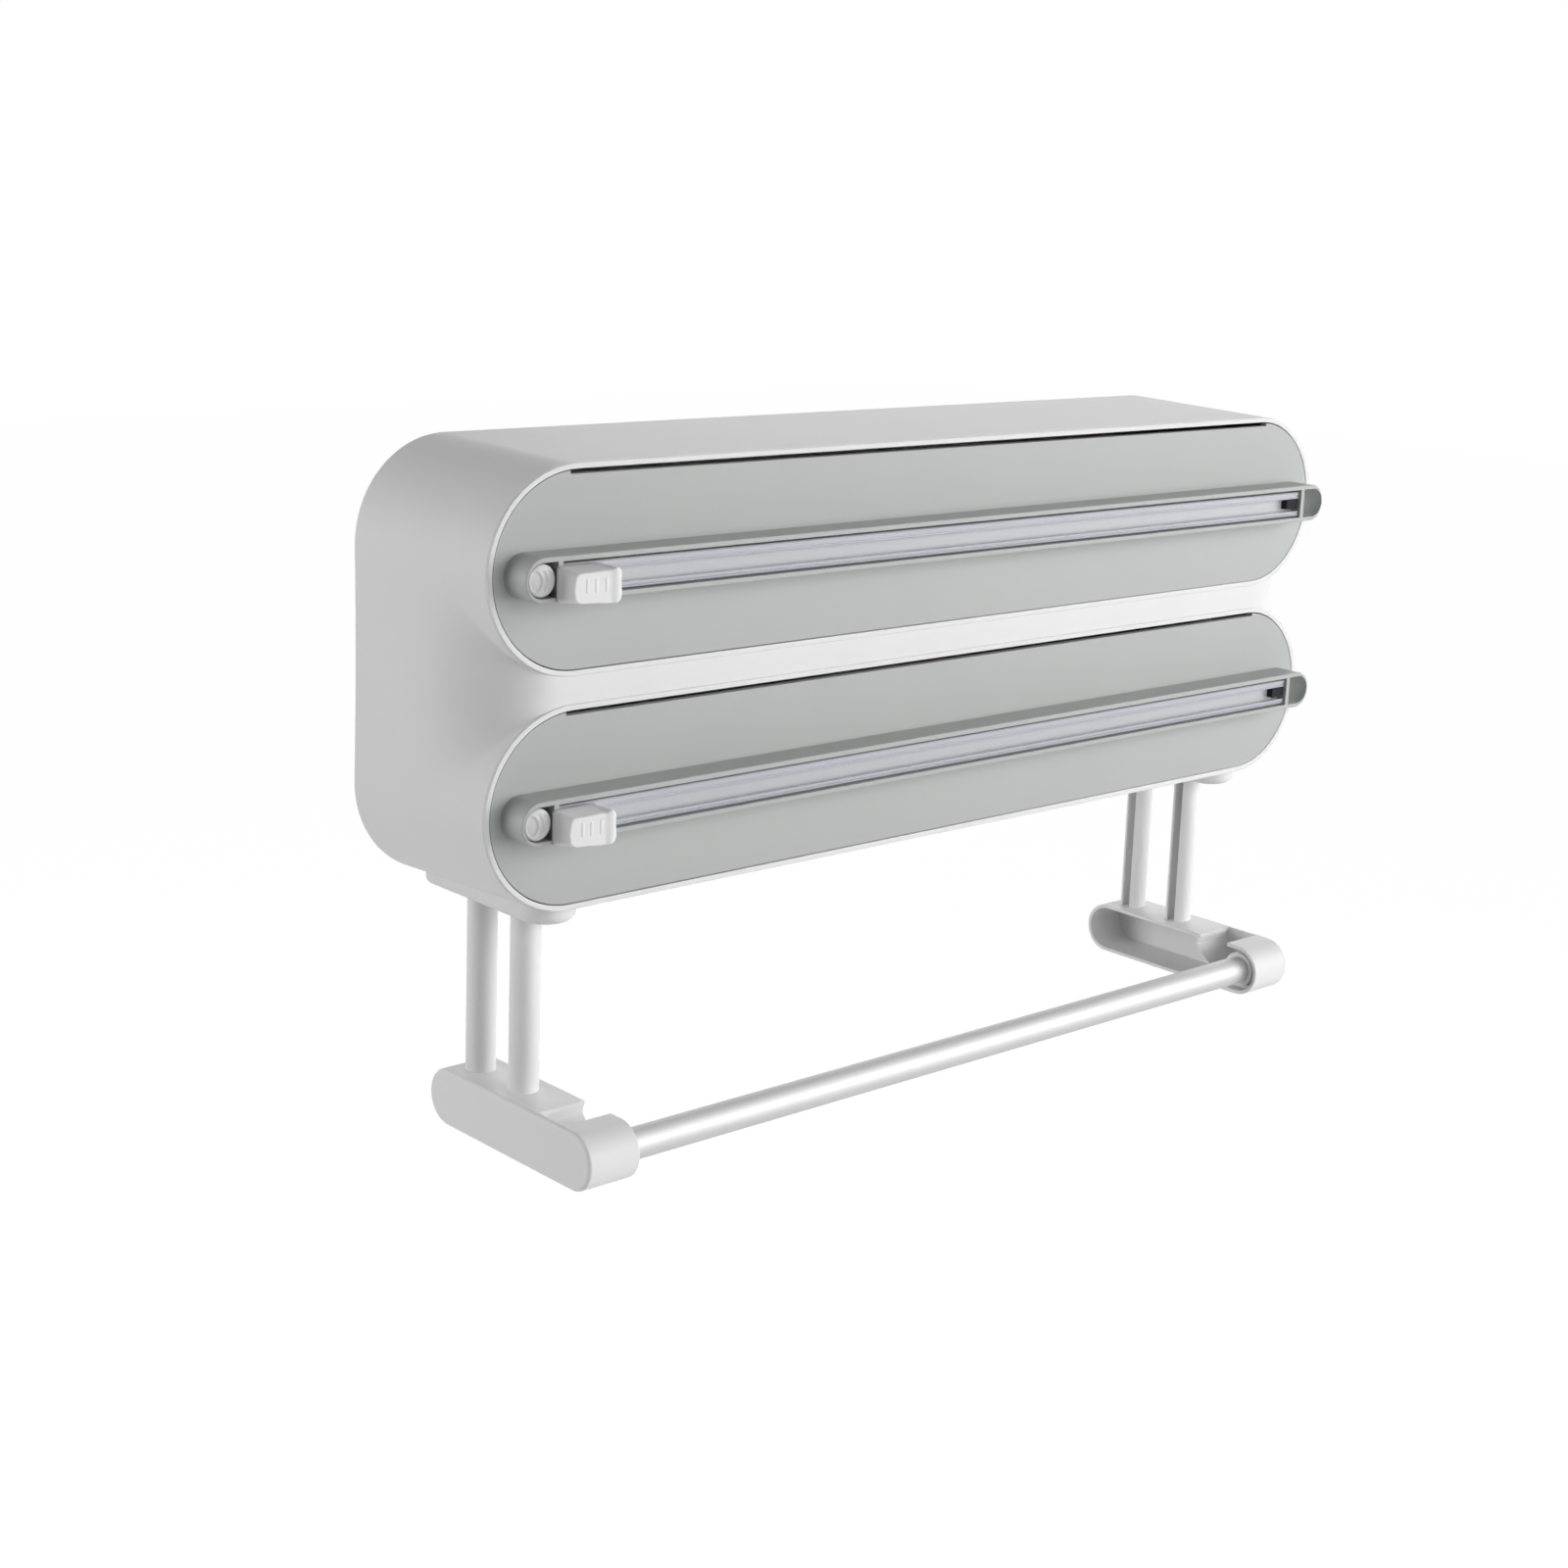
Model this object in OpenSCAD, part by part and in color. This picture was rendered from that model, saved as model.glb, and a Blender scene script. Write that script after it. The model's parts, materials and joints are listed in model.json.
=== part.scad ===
// Wall-mounted roll dispenser: two foil drawers with sliding cutters above a kitchen roll holder.
// Origin: centre of the wall face. +X to the right, +Y into the wall, +Z up. Millimetres.

/* [Housing] */
// Straight half length of the two drawer openings
pill_half_len = 165; // [120:1:220]
// Radius of the round ends of a drawer opening
pill_r = 31.15; // [28:0.05:40]
// Height of the band between the two openings
band_w = 12.3; // [9:0.1:30]
// Depth from the wall to the front rims
body_depth = 69; // [66:0.5:100]
// How far the housing widens on each side from the rims to the wall
back_flare = 2; // [0.5:0.1:4]
// Width of the raised rim round each opening
rim_w = 1.7; // [1:0.1:2]
// Height of the rim above the band between the drawers
rim_proud = 0.8; // [0.3:0.1:2]
// How far the flat band runs past the straight part of an opening
band_end = 5; // [2:0.5:12]
// Depth over which the hollow at the waist runs out into the flat side
valley_depth = 34; // [20:1:50]
// Thickness of the plate that closes the back
plate_t = 2.8; // [2:0.1:4]
// Width of the housing wall round the back plate
back_lip_w = 2.4; // [1.6:0.1:3]
// How far the pads reach below the lower opening
pad_proud = 8.05; // [6.5:0.05:15]
// Half width of a pad
pad_half_w = 10; // [9.5:0.1:12]
// Rounding of a pad's lower edges
pad_edge_r = 3.5; // [1:0.1:4]
// Distance from the front rims to a pad
pad_setback = 4; // [2:0.5:10]

/* [Wall screws] */
// Distance between the wall screws, left to right
wall_pitch_x = 280; // [200:5:300]
// Radius of a wall screw hole
wall_hole_r = 2.5; // [2:0.1:3.5]

/* [Drawers] */
// Gap between a drawer front and its opening
front_gap = 0.4; // [0.3:0.05:1]
// Setback of a drawer front behind the rims
front_setback = 0.3; // [0:0.1:1]
// Thickness of a drawer front
front_t = 2.6; // [2:0.1:4]
// Height of the film slot above a drawer front
slot_h = 1.6; // [0.8:0.05:2.5]
// How far the film slot runs past the straight part of an opening
slot_overhang = 2.6; // [-40:0.1:8]
// Distance from the end of the straight part of an opening back to the inside of a tray's end
tray_setback = 13.5; // [13.5:0.5:40]
// Wall thickness of a tray
tray_wall = 1.8; // [1.2:0.1:2]
// How much of the housing's depth a drawer keeps inside when it is out
drawer_stay = 19; // [19:1:45]

/* [Cutter] */
// Height of the cutter housing in front of the rims
ridge_h = 11; // [9:0.5:16]
// Radius of the cutter housing's ends
ridge_r = 7; // [6.5:0.1:9]
// How far the straight part of the cutter housing runs past that of an opening
ridge_overhang = 19.9; // [19.5:0.1:21]
// Half height of the recess that holds the cutter rail
recess_half_h = 5.33; // [4.8:0.05:5.6]
// Distance from the end of the cutter housing's straight part to the rail's recess
recess_setback = 6.8; // [6.5:0.1:12]
// Width of the walls at the recess's ends
divider_w = 2; // [1:0.1:3]
// Half width of the groove along the cutter rail
groove_half_w = 2; // [1.6:0.1:2.6]
// Length of the cutter's cap
cap_len = 17.6; // [14:0.1:30]
// Height of the cutter's cap, top to bottom
cap_w = 10.4; // [8:0.1:13]
// Thickness of the cutter's cap
cap_t = 8.8; // [5:0.1:12]
// Length of the dark stop at the end of the groove
stop_len = 6.6; // [3:0.1:12]

/* [Button and latch] */
// Radius of a release button
button_r = 5.1; // [4:0.1:5.2]
// Travel of a release button
button_travel = 2.5; // [1:0.1:2.5]
// Radius of a latch's pin
latch_pin_r = 1.5; // [1:0.1:1.8]
// Turns of a button's spring
spring_turns = 4; // [2:1:6]

/* [Roll holder] */
// Distance from the pads down to the middle of the roll bar
bar_gap = 70.1; // [60:0.1:110]
// Distance of the roll bar in front of the rims
bar_reach = 15; // [10:0.5:30]
// Radius of the roll bar
bar_r = 5.25; // [4:0.05:5.5]
// Wall thickness of the roll bar
bar_wall = 1; // [0.6:0.1:2]
// Radius of the end caps on the bar
bar_cap_r = 6.8; // [6.2:0.1:7.2]
// Outer radius of an arm's round ends
arm_r = 9.75; // [9:0.05:14]
// Distance from the end of the straight part of an opening back to the open side of an arm
arm_setback = 10.7; // [9:0.1:11]
// Width of an arm
arm_w = 20; // [18:0.5:28]
// Thickness of an arm's outer plate
arm_plate_t = 1.8; // [1.2:0.1:3]
// Thickness of an arm's edge
arm_wall = 1.4; // [1:0.1:2]
// Radius of a rod
rod_r = 5.05; // [4:0.05:5.2]
// Distance from the wall to the rear rods
rod_rear_gap = 21; // [19:0.5:23]
// Distance between an arm's front and rear rod
rod_spread = 24; // [18:0.5:26]
// Half width of the channel along a rod
channel_half_w = 1.9; // [1:0.1:2.5]

/* [Fits] */
// Gap between pieces that move past each other
run_gap = 0.3; // [0.2:0.05:0.35]
// Gap between fixed pieces round a plug or screw
fit_gap = 0.1; // [0.05:0.05:0.15]
// Radial gap of a bore that turns on its pin
pin_gap = 0.05; // [0.02:0.01:0.1]

/* [Hidden] */
$fn = 64;
// Overrun of every cut
over = 1;
pill_pitch = 2 * pill_r + band_w;
pill_z = pill_pitch / 2;
rim_root_share = 0.15;
skin_r = pill_r + rim_w + rim_root_share * rim_proud;
back_half_w = pill_half_len + skin_r + back_flare;
back_half_h = pill_z + skin_r + back_flare;
rim_depth = 5;
arc_steps = 8;
neck_steps = 5;
waist_steps = 5;
valley_steps = 8;
back_shares = [0.35, 0.7, 1];
// Share of the way out to the flat side where the hollow ends
valley_end_share = 0.99;
seat_depth = body_depth - plate_t;
pad_drop = pill_z + pill_r + pad_proud;
arm_in = pill_half_len - arm_setback;
rod_x = arm_in + arm_w / 2;
rod_rear_depth = body_depth - rod_rear_gap;
rod_front_depth = rod_rear_depth - rod_spread;
guide_r = rod_r + run_gap;
guide_body_r = 7.5;
guide_flange_r = 9;
guide_flange_t = 2.4;
guide_recess = 0.6;
guide_top = 1.3;
brake_h = 10;
brake_half_w = 4;
band_half = band_w / 2;
band_wall = 2;
band_pocket_x_shares = [-0.6, 0, 0.6];
band_pocket_share = 0.23;
screw_r = 1.5;
screw_head_r = 3;
screw_head_t = 1.2;
screw_len = 12;
plate_screw_shares = [0.25, 0.75];
plate_screw_inset = 13;
plate_end_screw_x = back_half_w - plate_screw_inset;
// Drawer front
slot_half_len = pill_half_len + slot_overhang;
ridge_half_len = pill_half_len + ridge_overhang;
recess_half_len = ridge_half_len - recess_setback;
panel_r = pill_r - front_gap;
panel_back = front_setback + front_t;
pocket_floor = 0.7;
recess_floor = 1.7;
pocket_shift = 0.85;
button_x = -(ridge_half_len + pocket_shift);
button_edge_drop = 0.5;
button_edge_h = ridge_h - button_edge_drop;
button_crown_r = 14;
stem_r = 2.2;
stem_head_r = 3.2;
stem_tip_r = 1.6;
stem_end = 7.2;
spring_wire_r = 0.3;
spring_r = 3.3;
spring_sides = 6;
spring_steps = 12;
// The closed spring takes up what the button's travel leaves
button_skirt = pocket_floor + 2 * spring_wire_r * (spring_turns + 1) + 2 * fit_gap + button_travel;
spring_low = pocket_floor + spring_wire_r + fit_gap;
spring_high = button_skirt - spring_wire_r - fit_gap;
button_rib_w = 1;
button_rib_step = 1.9;
button_rib_first = 4.6;
button_rib_rise = 0.4;
button_rib_half = 2.9;
// Cutter rail, as heights in front of the rims
rail_side_gap = 0.23;
rail_half_w = recess_half_h - rail_side_gap;
rail_base = 5.3;
rail_top = 10;
rail_lip_t = 1;
rail_cavity_half_w = 3.9;
rail_edge = 0.6;
rail_cavity_low = recess_floor + rail_base;
rail_cavity_high = rail_top - rail_lip_t;
cap_gap = 0.4;
cap_low = ridge_h + cap_gap;
cap_setback = 5.9;
cap_x = -(recess_half_len - cap_setback);
cap_drop = 1.1;
cap_foot_r = 1.2;
cap_face_r = 3.4;
cap_nose_r = 4.2;
cap_face_inset = 0.4;
cap_slab = 1;
grip_rib_w = 0.8;
grip_rib_half = 3;
grip_rib_step = 3.7;
grip_rib_shift = -0.7;
grip_rib_rise = 0.3;
shoe_len = 10;
neck_len = 7;
blade_t = 0.5;
blade_reach = 2.2;
stop_setback = 0.4;
stop_x = recess_half_len - stop_setback;
// Tray, as large as the bay lets it be, both in height and in depth
tray_side_gap = 3.35;
tray_back_gap = 3.6;
tray_end_rear = 4.1;
tray_outer_r = min(pill_r - tray_side_gap, (seat_depth - panel_back - tray_end_rear - tray_back_gap) / 2);
tray_r = tray_outer_r - tray_wall;
tray_depth = panel_back + tray_outer_r;
tray_half_len = pill_half_len - tray_setback;
tray_end_t = 1.5;
tray_outer_half = tray_half_len + tray_end_t;
tray_front_t = 2;
tray_front_top_share = 0.85;
tray_back_top_share = 0.2;
tray_end_top_share = 0.55;
drawer_travel = body_depth - drawer_stay;
tray_rear = tray_depth + tray_outer_r + tray_end_rear;
tongue_w = 2.2;
tongue_half_h = 1.6;
tongue_front = 8;
tongue_head = 3;
tongue_head_half_h = 3.2;
runner_t = 4;
runner_half_h = 9;
runner_in = tray_outer_half + run_gap + fit_gap;
runner_foot_half_h = 12;
runner_foot_t = 3;
tray_screw_shares = [-0.85, -0.3, 0.3, 0.85];
// Latch, seen from above
latch_lever = 8.25;
latch_x = button_x + latch_lever;
latch_depth = 10;
latch_hub_r = 3;
latch_half_h = 2.6;
latch_arm_w = 2.6;
latch_overlap = 2.25;
latch_arm_end = button_x - latch_overlap;
latch_tail = 12;
latch_tail_w = 3;
latch_nose = 2.5;
latch_nose_tip = 0.8;
latch_nose_reach = 4.7;
lug_half_h = 6;
lug_r = 3.4;
keeper_tip_gap = 0.4;
keeper_t = 2.2;
keeper_half_h = 3;
// Arm
arm_out = arm_in + arm_w;
arm_rear_reach = 5.3;
arm_rear_depth = rod_rear_depth + arm_rear_reach;
bar_drop = pad_drop + bar_gap;
// Corners of the wall between the hook and the deck, as reach and height from the bar's centre
tip_reach = 5.4;
deck_reach = 19;
step_reach = 20.2;
step_height = 5.5;
ramp_reach = 17;
ramp_height = 1.9;
ramp_foot_reach = 12.4;
ramp_foot_height = -1.4;
ramp_end_reach = 9;
cradle_r = bar_cap_r + run_gap;
cradle_in = arm_in + 5.5;
cradle_mouth_share = 0.7;
yoke_rest = 0.85;
yoke_low = band_half + yoke_rest;
yoke_t = 3;
yoke_r = 5.8;
rod_top = yoke_low;
yoke_screw_shift = 2.6;
yoke_screw_r = 1.2;
yoke_screw_len = 10;
channel_past_middle = 0.8;
yoke_head_t = 1;
yoke_head_r = 2;
bar_cap_setback = 1.2;
cap_plug_len = 12;
cap_end_gap = 0.5;

// Places with y as the depth behind the rims
module at_front() { translate([0, -body_depth, 0]) children(); }
module at_pill(lv) { translate([0, -body_depth, lv * pill_z]) children(); }
// Outline drawn in x and z, extruded along y from a to b
module along_y(a, b) { translate([0, b, 0]) rotate([90, 0, 0]) linear_extrude(b - a) children(); }
// Outline drawn in y and z, extruded along x from a to b
module along_x(a, b) { translate([a, 0, 0]) rotate([90, 0, 90]) linear_extrude(b - a) children(); }
// Outline drawn in x and y, extruded along z from a to b
module along_z(a, b) { translate([0, 0, a]) linear_extrude(b - a) children(); }
module box(lo, hi) { translate(lo) cube(hi - lo); }
// Outline with round ends, along the first axis between a and b
module slot_outline(a, b, r) {
    translate([a, -r]) square([b - a, 2 * r]);
    for (p = [a, b]) translate([p, 0]) circle(r);
}
module round_rect(hw, hh, r) {
    translate([-hw + r, -hh]) square([2 * (hw - r), 2 * hh]);
    translate([-hw, -hh + r]) square([2 * hw, 2 * (hh - r)]);
    for (sx = [-1, 1], sy = [-1, 1]) translate([sx * (hw - r), sy * (hh - r)]) circle(r);
}
module pill_outline(r) { slot_outline(-pill_half_len, pill_half_len, r); }
module screw(len, r, head_r, head_t) {
    cylinder(r = r, h = len);
    translate([0, 0, -head_t]) cylinder(r = head_r, h = head_t);
}

// The hollow at the waist rolls from the front band out into the flat side. A section there is
// the two round ends and the circle that touches both, whose waist moves out with the depth.
valley_turns = [for (i = [0:valley_steps]) 90 * i / valley_steps];
start_gap = skin_r - band_end;
function waist_gap(g) = start_gap - (start_gap - skin_r * (1 - valley_end_share)) * sin(g);
function waist_reach(gap) = (pow(pill_z, 2) - pow(gap, 2)) / (2 * gap);
// Right upper quarter of a section, from the top down to the waist
function quarter(g) =
    let (reach = waist_reach(waist_gap(g)), turn = atan2(pill_z, reach), r = norm([reach, pill_z]) - skin_r)
    concat(
        [for (i = [0:arc_steps]) let (h = 90 - 90 * i / arc_steps)
            [pill_half_len + skin_r * cos(h), pill_z + skin_r * sin(h)]],
        [for (i = [1:neck_steps]) let (h = -turn * i / neck_steps)
            [pill_half_len + skin_r * cos(h), pill_z + skin_r * sin(h)]],
        [for (i = [1:waist_steps]) let (h = turn * (1 - 2 * i / (2 * waist_steps + 1)))
            [pill_half_len + reach - r * cos(h), r * sin(h)]]);
function outline(g) =
    let (q = quarter(g), n = len(q), side = concat(q, [for (i = [n - 1:-1:0]) [q[i][0], -q[i][1]]]))
    concat(side, [for (i = [2 * n - 1:-1:0]) [-side[i][0], side[i][1]]]);
// Section at a depth, widened by the draft
function section(g, depth) = let (s = (depth - rim_proud) / (body_depth - rim_proud)) [for (p = outline(g)) [
    p[0] * (1 + s * (back_half_w / (pill_half_len + skin_r) - 1)),
    depth,
    p[1] * (1 + s * (back_half_h / (pill_z + skin_r) - 1))]];
sections = concat(
    [for (g = valley_turns) section(g, rim_proud + valley_depth * (1 - cos(g)))],
    [for (k = back_shares)
        section(90, rim_proud + valley_depth + k * (body_depth - rim_proud - valley_depth))]);
module housing_body() {
    rings = len(sections);
    n = len(sections[0]);
    polyhedron(
        points = concat([for (s = sections) each s], [[0, rim_proud, 0], [0, body_depth, 0]]),
        faces = concat(
            [for (i = [0:n - 1]) [i, (i + 1) % n, rings * n]],
            [for (i = [0:n - 1]) [(rings - 1) * n + (i + 1) % n, (rings - 1) * n + i, rings * n + 1]],
            [for (k = [0:rings - 2], i = [0:n - 1]) let (j = (i + 1) % n) each [
                [k * n + j, k * n + i, (k + 1) * n + i],
                [(k + 1) * n + j, k * n + j, (k + 1) * n + i]]]));
}
module pad_plan() {
    front = pad_setback + pad_half_w;
    translate([rod_x, front]) circle(pad_half_w);
    translate([rod_x - pad_half_w, front]) square([2 * pad_half_w, seat_depth - front]);
}
module pad() {
    intersection() {
        along_z(-pad_drop, -pill_z) pad_plan();
        along_y(0, body_depth) translate([rod_x, -pad_drop + pill_z])
            round_rect(pad_half_w, pill_z, pad_edge_r);
        along_x(0, back_half_w) translate([(pad_setback + body_depth) / 2, -pad_drop + pill_z])
            round_rect((body_depth - pad_setback) / 2, pill_z, pad_edge_r);
    }
}
module guide_plan(r) {
    translate([rod_x, 0]) rotate(90) slot_outline(rod_front_depth, rod_rear_depth, r);
}
module housing_shell() {
    color([0.86, 0.86, 0.86]) at_front() difference() {
        union() {
            housing_body();
            for (lv = [-1, 1]) translate([0, 0, lv * pill_z])
                along_y(0, rim_depth) pill_outline(pill_r + rim_w);
            for (m = [0, 1]) mirror([m, 0, 0]) pad();
        }
        for (lv = [-1, 1]) translate([0, 0, lv * pill_z]) along_y(-over, seat_depth + over)
            pill_outline(pill_r);
        along_y(seat_depth, body_depth + over)
            round_rect(back_half_w - back_lip_w, back_half_h - back_lip_w, skin_r - back_lip_w);
        for (k = band_pocket_x_shares) translate([k * pill_half_len, 0, 0])
            box([-band_pocket_share * pill_half_len, rim_proud + rim_depth, -band_half + band_wall],
                [band_pocket_share * pill_half_len, body_depth, band_half - band_wall]);
        for (m = [0, 1]) mirror([m, 0, 0]) {
            along_z(-pad_drop - over, -pill_z - pill_r + rim_depth) guide_plan(guide_body_r + fit_gap);
            for (d = [rod_front_depth, rod_rear_depth]) translate([rod_x, d, -pill_z])
                cylinder(r = guide_r + fit_gap, h = pill_pitch);
        }
        for (x = plate_screw_xs) translate([x, body_depth, 0]) rotate([90, 0, 0])
            cylinder(r = screw_r + fit_gap, h = screw_len + over);
    }
}
plate_screw_side = concat([for (k = plate_screw_shares) k * back_half_w], [plate_end_screw_x]);
plate_screw_xs = [for (s = [-1, 1], x = plate_screw_side) s * x];
module back_plate() {
    gap = back_lip_w + fit_gap;
    color([0.84, 0.84, 0.84]) at_front() difference() {
        along_y(seat_depth, body_depth) round_rect(back_half_w - gap, back_half_h - gap, skin_r - gap);
        for (sx = [-1, 1], sz = [-1, 1]) translate([sx * wall_pitch_x / 2, seat_depth - over, sz * pill_z])
            rotate([-90, 0, 0]) cylinder(r = wall_hole_r, h = plate_t + 2 * over);
        for (x = plate_screw_xs) translate([x, body_depth, 0]) rotate([90, 0, 0]) {
            cylinder(r = screw_r + fit_gap, h = plate_t + over);
            translate([0, 0, -over]) cylinder(r = screw_head_r + fit_gap, h = over + screw_head_t + fit_gap);
        }
    }
}
module back_plate_screws() {
    color([0.7, 0.7, 0.72]) at_front() for (x = plate_screw_xs)
        translate([x, body_depth - screw_head_t - fit_gap, 0]) rotate([90, 0, 0])
            screw(screw_len - screw_head_t, screw_r, screw_head_r, screw_head_t);
}
// Channel that a tray's tongue slides in, with a foot on the back plate
module runner(side, lv) {
    lip_depth = tray_rear - tongue_head - drawer_travel - run_gap;
    color([0.75, 0.76, 0.76]) at_pill(lv) mirror([side < 0 ? 1 : 0, 0, 0]) difference() {
        union() {
            box([runner_in, panel_back + run_gap, -runner_half_h],
                [runner_in + runner_t, seat_depth, runner_half_h]);
            box([runner_in - tongue_w, seat_depth - runner_foot_t, -runner_foot_half_h],
                [runner_in + runner_t, seat_depth, runner_foot_half_h]);
        }
        box([runner_in - over, 0, -tongue_half_h - run_gap],
            [runner_in + tongue_w, seat_depth - runner_foot_t, tongue_half_h + run_gap]);
        box([runner_in - over, lip_depth, -tongue_head_half_h - run_gap],
            [runner_in + tongue_w, seat_depth - runner_foot_t, tongue_head_half_h + run_gap]);
    }
}
latch_tip_x = latch_x - latch_nose_reach;
keeper_tip_x = latch_tip_x - keeper_tip_gap;
nose_front = latch_depth + latch_tail - latch_nose;
module keeper(lv) {
    color([0.7, 0.7, 0.72]) at_pill(lv) intersection() {
        box([-pill_half_len - pill_r, nose_front - run_gap - keeper_t, -keeper_half_h],
            [keeper_tip_x, nose_front - run_gap, keeper_half_h]);
        along_y(0, body_depth) pill_outline(pill_r - pin_gap);
    }
}
guide_low = -pad_drop + guide_recess;
guide_flange_low = -pill_z - pill_r + guide_top;
module rod_guide(side) {
    color([0.8, 0.8, 0.8]) at_front() mirror([side < 0 ? 1 : 0, 0, 0]) difference() {
        union() {
            along_z(guide_low, guide_flange_low) guide_plan(guide_body_r);
            along_z(guide_flange_low, guide_flange_low + guide_flange_t) guide_plan(guide_flange_r);
        }
        for (d = [rod_front_depth, rod_rear_depth]) translate([rod_x, d, -pad_drop])
            cylinder(r = guide_r, h = pill_z);
    }
}
module rod_brake(side) {
    gap = rod_r + run_gap;
    color([0.25, 0.25, 0.26]) at_front() mirror([side < 0 ? 1 : 0, 0, 0])
        box([rod_x - brake_half_w, rod_front_depth + gap, guide_flange_low + guide_flange_t],
            [rod_x + brake_half_w, rod_rear_depth - gap, guide_flange_low + guide_flange_t + brake_h]);
}

// Drawer front with the cutter housing across it
module drawer_front(lv) {
    color([0.72, 0.745, 0.73]) at_pill(lv) difference() {
        union() {
            along_y(front_setback, panel_back) difference() {
                pill_outline(panel_r);
                translate([-slot_half_len, pill_r - slot_h]) square([2 * slot_half_len, pill_r]);
            }
            along_y(-ridge_h, front_setback) slot_outline(-ridge_half_len, ridge_half_len, ridge_r);
            for (m = [0, 1]) mirror([0, 0, m]) translate([latch_x, 0, 0])
                along_z(latch_half_h + run_gap, lug_half_h) lug_outline();
        }
        box([-recess_half_len, -ridge_h - over, -recess_half_h],
            [recess_half_len, -recess_floor, recess_half_h]);
        for (m = [0, 1]) mirror([m, 0, 0]) along_y(-ridge_h - over, -pocket_floor) {
            translate([button_x, 0]) circle(button_r + run_gap);
            translate([button_x, -button_r - run_gap])
                square([-button_x - recess_half_len - divider_w, 2 * (button_r + run_gap)]);
        }
        translate([button_x, 0, 0]) rotate([90, 0, 0])
            translate([0, 0, -panel_back - over]) cylinder(r = stem_r + run_gap, h = panel_back + ridge_h);
        translate([latch_x, latch_depth, -lug_half_h - over])
            cylinder(r = latch_pin_r, h = 2 * (lug_half_h + over));
        for (x = tray_screw_xs) translate([x, panel_back + over, 0]) rotate([90, 0, 0])
            cylinder(r = screw_r + fit_gap, h = front_screw_len + over + fit_gap);
    }
}
front_screw_len = 3.4;
tray_screw_xs = [for (k = tray_screw_shares) k * tray_half_len];
module lug_outline() {
    translate([0, latch_depth]) circle(lug_r);
    root = panel_back - front_t / 2;
    translate([-lug_r, root]) square([2 * lug_r, latch_depth - root]);
}
// Trough for a foil roll, with end plates that carry the tongues
module tray(lv) {
    top = tray_front_top_share * tray_r;
    inner_front = panel_back + tray_front_t;
    tongue_end = tray_outer_half + tongue_w - fit_gap;
    color([0.82, 0.83, 0.82]) at_pill(lv) difference() {
        union() {
            along_x(-tray_outer_half, tray_outer_half) {
                translate([tray_depth, 0]) circle(tray_outer_r);
                translate([panel_back, 0]) square([2 * tray_outer_r, tray_end_top_share * tray_r]);
                translate([panel_back, -tray_r]) square([tray_front_t, tray_r + top]);
            }
            for (m = [0, 1]) mirror([m, 0, 0]) {
                box([tray_half_len, tray_depth, -runner_half_h],
                    [tray_outer_half, tray_rear, runner_half_h]);
                box([tray_half_len, tongue_front, -tongue_half_h], [tongue_end, tray_rear, tongue_half_h]);
                box([tray_half_len, tray_rear - tongue_head, -tongue_head_half_h],
                    [tongue_end, tray_rear, tongue_head_half_h]);
            }
        }
        along_x(-tray_half_len, tray_half_len) {
            translate([tray_depth, 0]) circle(tray_r);
            translate([inner_front, 0]) square([tray_depth - inner_front + tray_r, 2 * tray_r]);
            translate([tray_depth, tray_back_top_share * tray_r]) square([2 * tray_r, 2 * tray_r]);
        }
        along_x(-tray_outer_half - over, tray_outer_half + over)
            translate([inner_front, tray_end_top_share * tray_r]) square([3 * tray_r, 2 * tray_r]);
        for (x = tray_screw_xs) translate([x, 0, 0]) rotate([-90, 0, 0])
            cylinder(r = screw_r + fit_gap, h = tray_depth);
    }
}
module tray_screws(lv) {
    color([0.7, 0.7, 0.72]) at_pill(lv) for (x = tray_screw_xs)
        translate([x, panel_back + tray_front_t, 0]) rotate([90, 0, 0])
            screw(tray_front_t + front_screw_len, screw_r, screw_head_r, screw_head_t);
}
// Section of the clear rail, drawn in depth and height
module rail_outline() {
    difference() {
        translate([-rail_top, -rail_half_w]) square([rail_top - recess_floor, 2 * rail_half_w]);
        translate([-rail_cavity_high, -rail_cavity_half_w])
            square([rail_cavity_high - rail_cavity_low, 2 * rail_cavity_half_w]);
        translate([-rail_top - over, -groove_half_w]) square([rail_lip_t + 2 * over, 2 * groove_half_w]);
        for (s = [-1, 1]) translate([-rail_top, s * rail_half_w]) rotate(45)
            square(rail_edge, center = true);
    }
}
module cutter_rail(lv) {
    color([0.8, 0.81, 0.86, 0.6]) at_pill(lv)
        along_x(-recess_half_len + run_gap, recess_half_len - run_gap) rail_outline();
}
module rail_stop(lv) {
    half = groove_half_w - fit_gap;
    color([0.25, 0.25, 0.27]) at_pill(lv)
        box([stop_x - stop_len, -rail_top + run_gap, -half], [stop_x, -rail_cavity_low, half]);
}
module latch_pin(lv) {
    color([0.7, 0.7, 0.72]) at_pill(lv) translate([latch_x, latch_depth, -lug_half_h])
        cylinder(r = latch_pin_r, h = 2 * lug_half_h);
}
// Two-armed lever: the button pushes one arm, the nose on the other holds the keeper
module latch(lv) {
    tail_left = latch_x - latch_tail_w / 2;
    color([0.6, 0.6, 0.62]) at_pill(lv) along_z(-latch_half_h, latch_half_h) difference() {
        union() {
            translate([latch_x, latch_depth]) circle(latch_hub_r);
            translate([latch_arm_end, latch_front]) square([latch_x - latch_arm_end, latch_arm_w]);
            polygon([[tail_left, latch_depth], [tail_left + latch_tail_w, latch_depth],
                [tail_left + latch_tail_w, latch_depth + latch_tail], [tail_left, latch_depth + latch_tail],
                [latch_tip_x, nose_front + latch_nose_tip], [latch_tip_x, nose_front],
                [tail_left, nose_front]]);
        }
        translate([latch_x, latch_depth]) circle(latch_pin_r + pin_gap);
    }
}
latch_front = stem_end + run_gap;
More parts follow.
